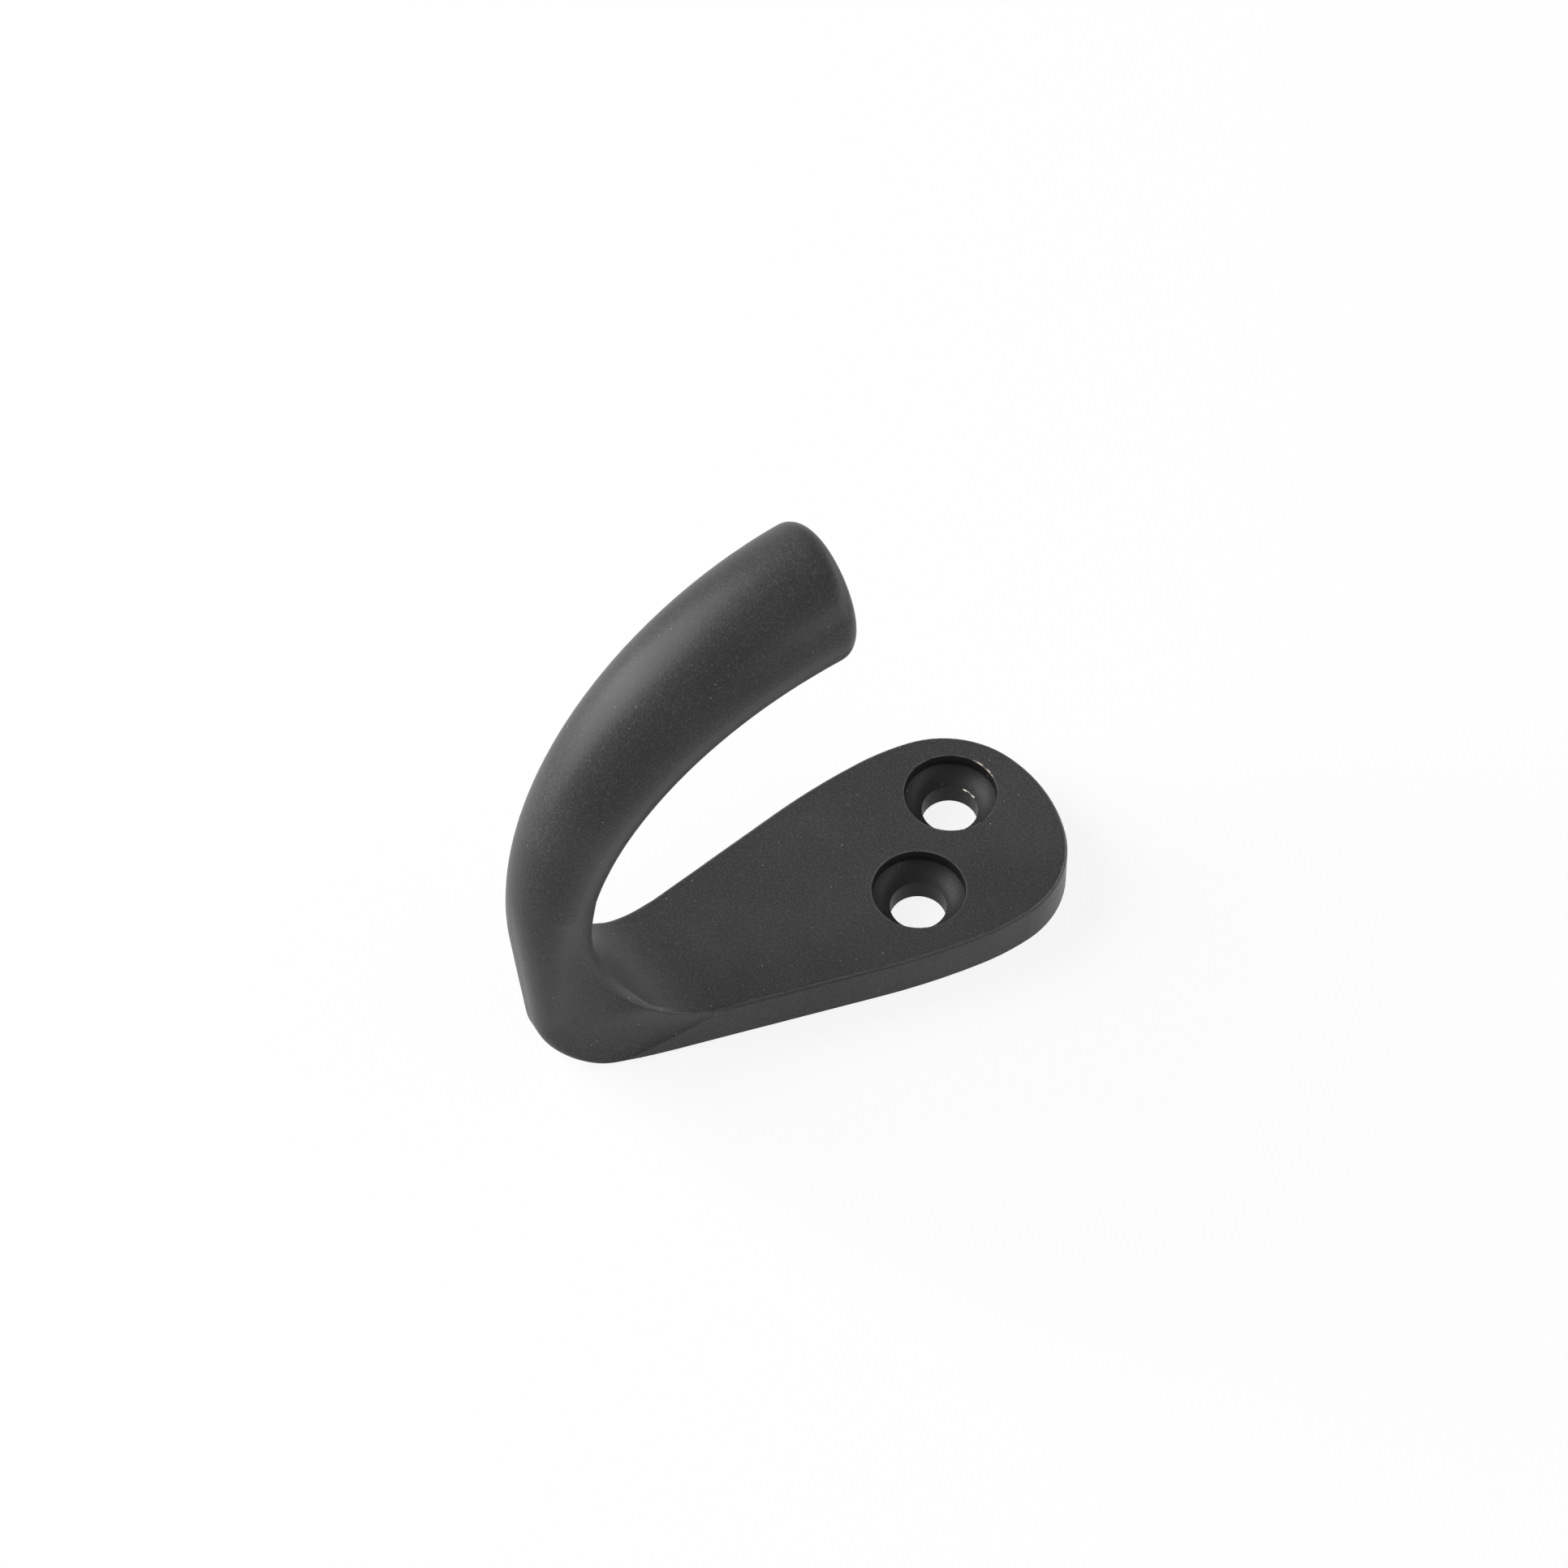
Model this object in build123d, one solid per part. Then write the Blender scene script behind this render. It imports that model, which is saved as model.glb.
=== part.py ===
from build123d import *
import os
from math import acos, cos, degrees, radians, sin, tan

# Single robe hook, one casting that screws to a wall.
# The wall face lies in Z = 0 with +Z pointing out of the wall, +Y up the wall and +X to the right.
# The origin is on the wall face, midway between the two screw holes.
# Lengths are in millimetres and angles in degrees.

# Back plate, seen from the front: arcs at the crown, shoulders, cheeks and flanks, then a straight
# root that tapers to the foot of the arm and closes round it in a nose
plate_thickness = 4.2
crown_height = 10.7
crown_radius = 13.4
crown_angle = 19.5
shoulder_radius = 8.5
shoulder_angle = 61.5
cheek_radius = 21.5
cheek_angle = 12.5
flank_radius = 60
root_taper = 12
root_length = 18.1
nose_radius = 35
front_edge_radius = 0.35
wall_edge_chamfer = 0.25

# Countersunk screw holes, on a diagonal across the plate
screw_spacing = 10.3
screw_diagonal = 135
screw_bore = 4.7
seat_width = 7.8
seat_wall = 1.1
seat_depth = 1.2

# Neck, where the arm is thinnest; it leans a little away from the plate. The shares place its
# sections between the foot and the neck, and the heel's shares place the foot's own sections
neck_below_waist = 7.31
neck_height = 13.7
neck_width = 5.95
neck_lean = 5.4
neck_back_corner = 2.4
neck_front_corner = 1.8
neck_shares = (0.2, 0.4, 0.7, 1)

# Foot of the arm, seen from the side: the back turns up from the wall round the heel, and the
# front turns up from the plate round the crotch. The foot's back corners grow rounder on the way up
heel_radius = 5.6
heel_corner = 1.8
heel_shares = (0.2, 0.4, 0.6, 0.8, 1)
foot_overlap = 2.5
crotch_radius = 9.2
crotch_angle = 45

# Bend of the arm, round in section and swelling towards the tip, which is cut square to the wall
bend_radius = 28.4
bend_angle = 89
bend_stations = 6
swell_power = 1.48
tip_width = 11.6
tip_rim_radius = 1.5


def plate_outline():
    """Right half of the plate's outline, closed along the middle, its waist and its half width."""
    crown = JernArc((0, crown_height), (1, 0), crown_radius, -crown_angle)
    shoulder = JernArc(crown @ 1, crown % 1, shoulder_radius, -shoulder_angle)
    cheek = JernArc(shoulder @ 1, shoulder % 1, cheek_radius, -cheek_angle)
    flank_angle = 90 + root_taper - crown_angle - shoulder_angle - cheek_angle
    flank = JernArc(cheek @ 1, cheek % 1, flank_radius, -flank_angle)
    waist = flank @ 1 + flank % 1 * root_length / cos(radians(root_taper))
    root = Line(flank @ 1, waist)
    # The nose arc ends where it meets the middle of the plate
    nose_end = degrees(acos(cos(radians(root_taper)) - waist.X / nose_radius))
    nose = JernArc(waist, root % 1, nose_radius, root_taper - nose_end)
    # The root and the nose run on in one curve, so that each side of the root is one face
    side_points = [line @ share for line in (root, nose) for share in (0, 0.25, 0.5, 0.75)] + [nose @ 1]
    side = Spline(side_points, tangents=[root % 0, nose % 1])
    middle = Line(nose @ 1, crown @ 0)

    def half_width(y):
        """Half the root's width at a height y on the wall."""
        if y > waist.Y:
            return waist.X + (y - waist.Y) * tan(radians(root_taper))
        heading = (waist.Y - y) / nose_radius + sin(radians(root_taper))
        return waist.X - nose_radius * (cos(radians(root_taper)) - (1 - heading**2) ** 0.5)

    return Curve() + [crown, shoulder, cheek, flank, side, middle], waist, half_width


def station(back, front):
    """Plane of a section through a back point and a front point of the side view."""
    middle = (back + front) / 2
    across = front - back
    return Plane(origin=(0, middle.X, middle.Y), x_dir=(1, 0, 0), z_dir=(0, -across.Y, across.X))


def cut_face(solid, plane):
    """Face that a plane leaves where it cuts a solid."""
    kept = split(solid, plane, keep=Keep.BOTTOM)
    return kept.faces().sort_by(lambda face: abs(plane.to_local_coords(face.center()).Z))[0]


def squared_section(back, front, back_half, front_half, back_corner, front_corner):
    """Four-sided section with rounded corners, between a back point and a front point."""
    reach = (front - back).length / 2
    corners = [(-back_half, -reach), (back_half, -reach), (front_half, reach), (-front_half, reach)]
    face = make_face(Polyline(*corners, close=True))
    face = fillet(face.vertices().group_by(Axis.Y)[0], back_corner)
    face = fillet(face.vertices().group_by(Axis.Y)[-1], front_corner)
    return station(back, front) * face


def square_to(point, heading):
    """Plane through a point of the side view, square to a heading in it."""
    return Plane(origin=(0, point.X, point.Y), x_dir=(1, 0, 0), z_dir=(0, heading.X, heading.Y))


def round_section(plane, radius):
    """Circle in eight arcs, which pair with the four sides and four corners of a squared section."""
    side_angle = 16
    corner_angle = 90 - side_angle
    arcs = []
    for middle in (-90, 0, 90, 180):
        arcs.append(CenterArc((0, 0), radius, middle - side_angle / 2, side_angle).edge())
        arcs.append(CenterArc((0, 0), radius, middle + side_angle / 2, corner_angle).edge())
    return plane * Face(Wire(arcs))


right_half, waist, root_half_width = plate_outline()

# Side view of the foot, drawn in Y and Z: both sides run from the wall and the plate to the neck
neck = Vector(waist.Y - neck_below_waist, neck_height)
lean = radians(neck_lean)
neck_heading = Vector(-sin(lean), cos(lean))
neck_across = Vector(cos(lean), sin(lean)) * neck_width / 2
foot_angle = 90 - neck_lean

neck_back_point = neck - neck_across
heel_end_z = heel_radius * (1 - sin(lean))
heel_end = neck_back_point - neck_heading * (neck_back_point.Y - heel_end_z) / cos(lean)
heel = JernArc((heel_end.X + heel_radius * cos(lean), 0), (-1, 0), heel_radius, -foot_angle)
neck_back = Line(heel @ 1, neck_back_point)

neck_front_point = neck + neck_across
crotch_rise = crotch_radius * (1 - cos(radians(crotch_angle)))
front_rise = neck_front_point.Y - plate_thickness - crotch_rise
front_radius = front_rise / (cos(radians(crotch_angle)) - sin(lean))
front_reach = front_radius * (cos(lean) - sin(radians(crotch_angle)))
crotch_y = neck_front_point.X + front_reach + crotch_radius * sin(radians(crotch_angle))
crotch = JernArc((crotch_y, plate_thickness), (-1, 0), crotch_radius, -crotch_angle)
neck_front = JernArc(crotch @ 1, crotch % 1, front_radius, crotch_angle - foot_angle)

# Slab: the outline at the plate's thickness, chamfered along the wall and rounded along the front
front_view = make_face(right_half) + make_face(mirror(right_half, Plane.YZ))
slab = extrude(front_view, plate_thickness)
slab = chamfer(slab.faces().sort_by(Axis.Z)[0].edges(), wall_edge_chamfer)
slab = fillet(slab.faces().sort_by(Axis.Z)[-1].edges(), front_edge_radius)

# Bend: circles square to one arc, which runs on past the tip so that the tip can be cut off square
bend = JernArc(neck, neck_heading, bend_radius, -bend_angle)
overrun = JernArc(bend @ 1, bend % 1, bend_radius, -degrees(tip_rim_radius / bend_radius))
rings = []
for step in range(bend_stations + 1):
    share = step / bend_stations
    radius = (tip_width - (tip_width - neck_width) * (1 - share) ** swell_power) / 2
    rings.append((square_to(bend @ share, bend % share), radius))
rings.append((square_to(overrun @ 1, overrun % 1), tip_width / 2))

# Foot and neck: sections that fan round the crotch, from the slab to the bend's second circle
foot_plane = station(heel @ 0, crotch @ 0)
inboard = Vector(foot_overlap, 0)
inboard_plane = station(heel @ 0 + inboard, crotch @ 0 + inboard)
foot_sections = [cut_face(slab, inboard_plane), cut_face(slab, foot_plane)]
for share in heel_shares:
    back = heel @ share
    front = crotch @ share
    back_half = root_half_width(back.X)
    front_half = root_half_width(front.X)
    back_corner = wall_edge_chamfer + (heel_corner - wall_edge_chamfer) * share
    foot_sections.append(
        squared_section(back, front, back_half, front_half, back_corner, front_edge_radius)
    )
for share in neck_shares:
    back = neck_back @ share
    front = neck_front @ share
    back_half = root_half_width(back.X) * (1 - share) + neck_width / 2 * share
    front_half = root_half_width(front.X) * (1 - share) + neck_width / 2 * share
    back_corner = heel_corner + (neck_back_corner - heel_corner) * share
    front_corner = front_edge_radius + (neck_front_corner - front_edge_radius) * share
    foot_sections.append(squared_section(back, front, back_half, front_half, back_corner, front_corner))
foot_sections += [round_section(plane, radius) for plane, radius in rings[1:4]]

# The foot runs into the slab and into the bend, and is cut where it meets them in line
joint = rings[1][0]
plate = split(slab, foot_plane, keep=Keep.BOTTOM)
foot = split(loft(foot_sections), foot_plane, keep=Keep.TOP)
foot = split(foot, joint, keep=Keep.BOTTOM)
bend_part = split(loft([plane * Circle(radius) for plane, radius in rings]), joint, keep=Keep.TOP)
bend_part = split(bend_part, square_to(bend @ 1, Vector(1, 0)), keep=Keep.BOTTOM)
bend_part = fillet(bend_part.faces().sort_by(Axis.Y)[-1].edges(), tip_rim_radius)
body = plate + foot + bend_part

# Screw holes: a plain bore, a cone for the screw head and a short straight wall above it
hole_profile = Polyline(
    (0, -plate_thickness),
    (screw_bore / 2, -plate_thickness),
    (screw_bore / 2, plate_thickness - seat_wall - seat_depth),
    (seat_width / 2, plate_thickness - seat_wall),
    (seat_width / 2, 2 * plate_thickness),
    (0, 2 * plate_thickness),
    close=True,
)
hole = revolve(Plane.XZ * make_face(hole_profile), Axis.Z)
for side in (-1, 1):
    reach = side * screw_spacing / 2
    body -= Pos(reach * cos(radians(screw_diagonal)), reach * sin(radians(screw_diagonal)), 0) * hole

os.makedirs("parts", exist_ok=True)
export_step(body, "parts/robe_hook.step")
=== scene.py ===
import math

import bpy
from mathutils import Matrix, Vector

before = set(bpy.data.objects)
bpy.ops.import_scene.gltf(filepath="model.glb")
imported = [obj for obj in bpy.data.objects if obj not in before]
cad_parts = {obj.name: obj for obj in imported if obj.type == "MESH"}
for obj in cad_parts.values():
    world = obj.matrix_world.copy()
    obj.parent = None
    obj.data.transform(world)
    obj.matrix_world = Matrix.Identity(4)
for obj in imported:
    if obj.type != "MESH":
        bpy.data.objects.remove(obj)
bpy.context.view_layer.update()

# The hook is one metal casting, blasted and then coated in matt black, so one finish covers all of it.
# The coat has a fine grain, faint clouds and a few pale specks. Shade is painted black down in the
# screw seats and as a thin line along the plate's front edge, highlights are painted grey on the seat
# rims and along that edge, and the coat is gone from two short arcs at one seat.
COAT_BLACK = (0.032, 0.032, 0.033, 1)
COAT_WORN = (0.043, 0.043, 0.044, 1)
# Black of the grain's pits, and of the painted shade in the screw seats and in a line along the front
# edge.
PIT_AND_SHADE_BLACK = (0.02, 0.02, 0.02, 1)
# Grey of the grain's peaks, and of the painted highlights on the seat rims and along the front edge.
GRAIN_AND_HIGHLIGHT_GREY = (0.076, 0.076, 0.077, 1)
CLOUD_SIZE = 0.009
CLOUD_LIMITS = (0.35, 0.7)
GRAIN_SIZE = 0.00019
GRAIN_PITS = (0.36, 0.62)
GRAIN_PEAKS = (0.5, 0.72)
GRAIN_CONTRAST = 0.45

coat = bpy.data.materials.new("matt_black_coat")
coat.use_nodes = True
nodes = coat.node_tree.nodes
links = coat.node_tree.links
place = nodes.new("ShaderNodeTexCoord").outputs["Object"]


def feed(value, socket):
    """Give a socket a plain value, or link it to an output."""
    if isinstance(value, bpy.types.NodeSocket):
        links.new(value, socket)
    else:
        socket.default_value = value


def noise(size, detail=3):
    """Noise over the surface, with lumps of a size in metres."""
    node = nodes.new("ShaderNodeTexNoise")
    node.inputs["Scale"].default_value = 1 / size
    node.inputs["Detail"].default_value = detail
    links.new(place, node.inputs["Vector"])
    return node.outputs["Fac"]


def between(value, limits, first, last):
    """Smooth step from a first result to a last one, as a value goes through its two limits."""
    node = nodes.new("ShaderNodeMapRange")
    node.interpolation_type = "SMOOTHSTEP"
    links.new(value, node.inputs["Value"])
    node.inputs["From Min"].default_value = limits[0]
    node.inputs["From Max"].default_value = limits[1]
    node.inputs["To Min"].default_value = first
    node.inputs["To Max"].default_value = last
    return node.outputs["Result"]


def rise(value, limits, top=1):
    """Mask that climbs from 0 to its top as a value goes through its limits."""
    return between(value, limits, 0, top)


def fade(value, limits, top=1):
    """Mask that drops from its top to 0 as a value goes through its limits."""
    return between(value, limits, top, 0)


def tint(mask, under, over):
    """Colour that turns from under to over as a mask rises, by the colour sockets of a Mix node."""
    node = nodes.new("ShaderNodeMix")
    node.data_type = "RGBA"
    feed(mask, node.inputs[0])
    feed(under, node.inputs[6])
    feed(over, node.inputs[7])
    return node.outputs[2]


grain = noise(GRAIN_SIZE)
colour = tint(rise(noise(CLOUD_SIZE, 4), CLOUD_LIMITS), COAT_BLACK, COAT_WORN)
colour = tint(fade(grain, GRAIN_PITS, GRAIN_CONTRAST), colour, PIT_AND_SHADE_BLACK)
colour = tint(rise(grain, GRAIN_PEAKS, GRAIN_CONTRAST), colour, GRAIN_AND_HIGHLIGHT_GREY)

# Screw seats, two in the plate, each cast as a short straight wall over a shallow bowl. Shade is
# painted black on the wall and in the bowl, and a highlight is painted grey in patches on the rim. A
# reach is a distance from the seat's axis and a foot or a top is a height off the wall, from limit to
# limit.
# Deepest painted shade, on the straight wall of each seat.
SEAT_WALL_SHADE = (0.006, 0.006, 0.006, 1)
UPPER_SEAT = (-0.0036416, 0.0036416)
LOWER_SEAT = (0.0036416, -0.0036416)
SEAT_REACH = (0.00393, 0.00397)
SEAT_TOP = (0.00412, 0.00418)
SEAT_WALL_REACH = (0.0038, 0.00388)
RIM_REACH = (0.00396, 0.00402)
RIM_TOP = (0.0043, 0.0045)
RIM_PATCH = 0.0012
RIM_PATCH_LIMITS = (0.3, 0.6)

axes = nodes.new("ShaderNodeSeparateXYZ")
links.new(place, axes.inputs["Vector"])
height = axes.outputs["Z"]
flat = nodes.new("ShaderNodeCombineXYZ")
links.new(axes.outputs["X"], flat.inputs["X"])
links.new(axes.outputs["Y"], flat.inputs["Y"])


def away_from(centre):
    """Distance across the wall from a point on it."""
    node = nodes.new("ShaderNodeVectorMath")
    node.operation = "DISTANCE"
    links.new(flat.outputs["Vector"], node.inputs[0])
    node.inputs[1].default_value = (*centre, 0)
    return node.outputs["Value"]


def combine(operation, first, second):
    """Arithmetic of two values."""
    node = nodes.new("ShaderNodeMath")
    node.operation = operation
    feed(first, node.inputs[0])
    feed(second, node.inputs[1])
    return node.outputs["Value"]


def both(*masks):
    """Product of masks, which shows where all of them hold."""
    product = masks[0]
    for mask in masks[1:]:
        product = combine("MULTIPLY", product, mask)
    return product


to_seat = combine("MINIMUM", away_from(UPPER_SEAT), away_from(LOWER_SEAT))
seat = both(fade(to_seat, SEAT_REACH), fade(height, SEAT_TOP))
seat_wall = both(seat, rise(to_seat, SEAT_WALL_REACH))
# Painted highlight: grey patches along the rim of each seat.
rim_highlight = both(
    fade(to_seat, RIM_REACH),
    rise(height, SEAT_TOP),
    fade(height, RIM_TOP),
    rise(noise(RIM_PATCH, 2), RIM_PATCH_LIMITS),
)
# Painted shade in the seats, and deeper painted shade on their straight walls.
colour = tint(seat, colour, PIT_AND_SHADE_BLACK)
colour = tint(seat_wall, colour, SEAT_WALL_SHADE)

# Front edge of the plate, rounded in the casting. A highlight is painted grey along it in short
# lengths, over a thin line of painted shade. Both fade out where the root of the plate turns up into
# the arm.
HIGHLIGHT_LINE_FOOT = (0.00407, 0.00411)
HIGHLIGHT_LINE_TOP = (0.00416, 0.00419)
HIGHLIGHT_LINE_PATCH = 0.0009
HIGHLIGHT_LINE_PATCH_LIMITS = (0.2, 0.62)
LINE_FOOT = (0.00392, 0.00397)
LINE_TOP = (0.00403, 0.00407)
LINE_DEPTH = 0.6
CLEAR_OF_SEATS = (0.004, 0.0042)
ROOT_END = (-0.025, -0.02)

along_edge = both(rise(to_seat, CLEAR_OF_SEATS), rise(axes.outputs["Y"], ROOT_END))
edge_highlight = both(
    rise(height, HIGHLIGHT_LINE_FOOT),
    fade(height, HIGHLIGHT_LINE_TOP),
    rise(noise(HIGHLIGHT_LINE_PATCH), HIGHLIGHT_LINE_PATCH_LIMITS),
    along_edge,
)
shade_line = both(rise(height, LINE_FOOT), fade(height, LINE_TOP, LINE_DEPTH), along_edge)
# Painted highlights on the seat rims and the front edge, and the line of painted shade under that edge.
painted_highlight = combine("MAXIMUM", rim_highlight, edge_highlight)
colour = tint(shade_line, colour, PIT_AND_SHADE_BLACK)
colour = tint(painted_highlight, colour, GRAIN_AND_HIGHLIGHT_GREY)

# Pale specks on the coat, which are grains of dust stuck to it. Each is a spot round a point of an
# even scatter, where that point lies at the surface.
SPECK_GREY = (0.22, 0.22, 0.22, 1)
SPECK_SPACING = 0.0013
SPECK_RADIUS = 0.00007
SPECK_CORE = 0.6

scatter = nodes.new("ShaderNodeTexVoronoi")
scatter.inputs["Scale"].default_value = 1 / SPECK_SPACING
links.new(place, scatter.inputs["Vector"])
speck_reach = SPECK_RADIUS / SPECK_SPACING
speck = fade(scatter.outputs["Distance"], (speck_reach * SPECK_CORE, speck_reach))
colour = tint(speck, colour, SPECK_GREY)

# Bare metal at the upper seat, where the coat is gone from a short arc of the rim, and from another
# of the ledge where the bowl meets the bore. Noise breaks up both.
BARE_METAL = (0.6, 0.57, 0.48, 1)
BARE_RIM = (-0.004386, 0.00747)
BARE_RIM_SPREAD = (0.0009, 0.0015)
BARE_RIM_FOOT = (0.00408, 0.00414)
BARE_RIM_PATCH = 0.0005
BARE_RIM_PATCH_LIMITS = (0.38, 0.55)
BARE_LEDGE = (-0.004445, 0.00585)
BARE_LEDGE_SPREAD = (0.0006, 0.0011)
BARE_LEDGE_REACH = (0.00238, 0.00244)
BARE_LEDGE_FOOT = (0.00178, 0.00184)
BARE_LEDGE_PATCH = 0.0004
BARE_LEDGE_PATCH_LIMITS = (0.42, 0.6)

bare_rim = both(
    fade(away_from(BARE_RIM), BARE_RIM_SPREAD),
    fade(to_seat, RIM_REACH),
    rise(height, BARE_RIM_FOOT),
    rise(noise(BARE_RIM_PATCH), BARE_RIM_PATCH_LIMITS),
)
bare_ledge = both(
    fade(away_from(BARE_LEDGE), BARE_LEDGE_SPREAD),
    fade(to_seat, BARE_LEDGE_REACH),
    rise(height, BARE_LEDGE_FOOT),
    rise(noise(BARE_LEDGE_PATCH), BARE_LEDGE_PATCH_LIMITS),
)
bare = combine("MAXIMUM", bare_rim, bare_ledge)
colour = tint(bare, colour, BARE_METAL)

# Gloss and relief of the coat. It is matt, a little smoother where highlights are painted on it,
# duller in the seats, and its grain stands up from it. The bowls are cast slightly hollow, a little
# below the straight cone from the wall to the bore, and deepest in the middle of that cone.
COAT_GLOSS = 0.17
COAT_ROUGHNESS = (0.32, 0.48)
GRAIN_SPAN = (0.2, 0.8)
HIGHLIGHT_SHINE = 0.1
SEAT_DULLNESS = 0.05
GRAIN_HEIGHT = 0.000034
GRAIN_RELIEF = 0.6
SEAT_RADIUS = 0.0039
BORE_RADIUS = 0.00235
BOWL_MIDDLE = (SEAT_RADIUS + BORE_RADIUS) / 2
BOWL_DEPTH = 0.0002

roughness = between(grain, GRAIN_SPAN, *COAT_ROUGHNESS)
roughness = combine("SUBTRACT", roughness, combine("MULTIPLY", painted_highlight, HIGHLIGHT_SHINE))
roughness = combine("ADD", roughness, combine("MULTIPLY", seat, SEAT_DULLNESS))

across_bowl = combine("DIVIDE", combine("SUBTRACT", to_seat, BOWL_MIDDLE), SEAT_RADIUS - BOWL_MIDDLE)
hollow = combine("SUBTRACT", 1, combine("MULTIPLY", across_bowl, across_bowl))
bowl = nodes.new("ShaderNodeBump")
bowl.invert = True
bowl.inputs["Strength"].default_value = 1
bowl.inputs["Distance"].default_value = BOWL_DEPTH
links.new(both(combine("MAXIMUM", hollow, 0), seat), bowl.inputs["Height"])
relief = nodes.new("ShaderNodeBump")
relief.inputs["Strength"].default_value = GRAIN_RELIEF
relief.inputs["Distance"].default_value = GRAIN_HEIGHT
links.new(grain, relief.inputs["Height"])
links.new(bowl.outputs["Normal"], relief.inputs["Normal"])

shader = nodes["Principled BSDF"]
shader.inputs["Specular IOR Level"].default_value = COAT_GLOSS
links.new(colour, shader.inputs["Base Color"])
links.new(bare, shader.inputs["Metallic"])
links.new(roughness, shader.inputs["Roughness"])
links.new(relief.outputs["Normal"], shader.inputs["Normal"])

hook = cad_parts["robe_hook"]
hook.data.materials.clear()
hook.data.materials.append(coat)

# A sheet of white paper lies flat under the hook and runs far past the view. The camera and the gloss
# of the coat see it lifted most of the way to white, and it keeps a faint shadow of the hook.
FLOOR_HALF = 3
FLOOR_DROP = 0.00002
PAPER_WHITE = (0.9, 0.9, 0.9, 1)
PAPER_LIFT = 0.88

floor_mesh = bpy.data.meshes.new("floor")
corners = [(-1, -1), (1, -1), (1, 1), (-1, 1)]
points = [(x * FLOOR_HALF, y * FLOOR_HALF, -FLOOR_DROP) for x, y in corners]
floor_mesh.from_pydata(points, [], [(0, 1, 2, 3)])
floor = bpy.data.objects.new("floor", floor_mesh)
bpy.context.scene.collection.objects.link(floor)


def seen(tree):
    """Mask that is 1 where the camera, gloss or glass looks at a surface, and 0 for all other light."""
    ray = tree.nodes.new("ShaderNodeLightPath")
    mask = ray.outputs["Is Camera Ray"]
    for kind in ("Is Glossy Ray", "Is Transmission Ray"):
        either = tree.nodes.new("ShaderNodeMath")
        either.operation = "MAXIMUM"
        tree.links.new(mask, either.inputs[0])
        tree.links.new(ray.outputs[kind], either.inputs[1])
        mask = either.outputs["Value"]
    return mask


paper = bpy.data.materials.new("white_paper")
paper.use_nodes = True
nodes = paper.node_tree.nodes
links = paper.node_tree.links
sheet = nodes["Principled BSDF"]
sheet.inputs["Base Color"].default_value = PAPER_WHITE
sheet.inputs["Roughness"].default_value = 1
sheet.inputs["Specular IOR Level"].default_value = 0
white = nodes.new("ShaderNodeEmission")
white.inputs["Strength"].default_value = 1
lift = nodes.new("ShaderNodeMath")
lift.operation = "MULTIPLY"
links.new(seen(paper.node_tree), lift.inputs[0])
lift.inputs[1].default_value = PAPER_LIFT
blend = nodes.new("ShaderNodeMixShader")
links.new(lift.outputs["Value"], blend.inputs["Fac"])
links.new(sheet.outputs["BSDF"], blend.inputs[1])
links.new(white.outputs["Emission"], blend.inputs[2])
links.new(blend.outputs["Shader"], nodes["Material Output"].inputs["Surface"])
floor_mesh.materials.append(paper)

# Studio light: a large soft lamp stands at the hook's lower left, towards the outer curve of the arm,
# and a long, lower one at its upper right, beyond the plate. The world behind it all is white to the
# camera and in the gloss of the coat, and adds hardly any other light.
MAIN_LAMP = {"azimuth": 231.4, "elevation": 27, "width": 1.0, "length": 1.08, "power": 24.5}
FILL_LAMP = {"azimuth": 55, "elevation": 14, "width": 3.0, "length": 0.52, "power": 19}
LAMP_DISTANCE = 1.0
WORLD_STRENGTH = 0.03


def soft_lamp(name, azimuth, elevation, width, length, power):
    """Area lamp aimed at the hook and hidden from the camera. Its azimuth turns from +X towards +Y."""
    turn = math.radians(azimuth)
    lean = math.radians(elevation)
    away = Vector((math.cos(turn) * math.cos(lean), math.sin(turn) * math.cos(lean), math.sin(lean)))
    light = bpy.data.lights.new(name, "AREA")
    light.shape = "RECTANGLE"
    light.size = width
    light.size_y = length
    light.energy = power
    lamp = bpy.data.objects.new(name, light)
    lamp.location = away * LAMP_DISTANCE
    lamp.rotation_euler = away.to_track_quat("Z", "Y").to_euler()
    lamp.visible_camera = False
    bpy.context.scene.collection.objects.link(lamp)


soft_lamp("main_lamp", **MAIN_LAMP)
soft_lamp("fill_lamp", **FILL_LAMP)

world = bpy.data.worlds.new("studio")
bpy.context.scene.world = world
world.use_nodes = True
sky = world.node_tree.nodes["Background"]
sky.inputs["Color"].default_value = (1, 1, 1, 1)
sky_level = world.node_tree.nodes.new("ShaderNodeMapRange")
sky_level.inputs["To Min"].default_value = WORLD_STRENGTH
sky_level.inputs["To Max"].default_value = 1
world.node_tree.links.new(seen(world.node_tree), sky_level.inputs["Value"])
world.node_tree.links.new(sky_level.outputs["Result"], sky.inputs["Strength"])

# Camera: far back with a long lens, looking down on the hook from its lower right. The azimuth turns
# from -Y towards +X, and the lens is given in pixels of the square photograph.
CAMERA_AZIMUTH = 60.536
CAMERA_ELEVATION = 52.983
CAMERA_DISTANCE = 0.54017
CAMERA_AIM = (-0.01115, -0.00801, 0.00435)
LENS_PIXELS = 8000
PHOTO_PIXELS = 1932
SENSOR_WIDTH = 36

azimuth = math.radians(CAMERA_AZIMUTH)
elevation = math.radians(CAMERA_ELEVATION)
back = Vector(
    (
        math.sin(azimuth) * math.cos(elevation),
        -math.cos(azimuth) * math.cos(elevation),
        math.sin(elevation),
    )
)
camera_data = bpy.data.cameras.new("camera")
camera_data.sensor_width = SENSOR_WIDTH
camera_data.lens = LENS_PIXELS / PHOTO_PIXELS * SENSOR_WIDTH
camera = bpy.data.objects.new("camera", camera_data)
camera.location = Vector(CAMERA_AIM) + back * CAMERA_DISTANCE
camera.rotation_euler = back.to_track_quat("Z", "Y").to_euler()
bpy.context.scene.collection.objects.link(camera)
bpy.context.scene.camera = camera
bpy.context.scene.view_settings.view_transform = "Standard"
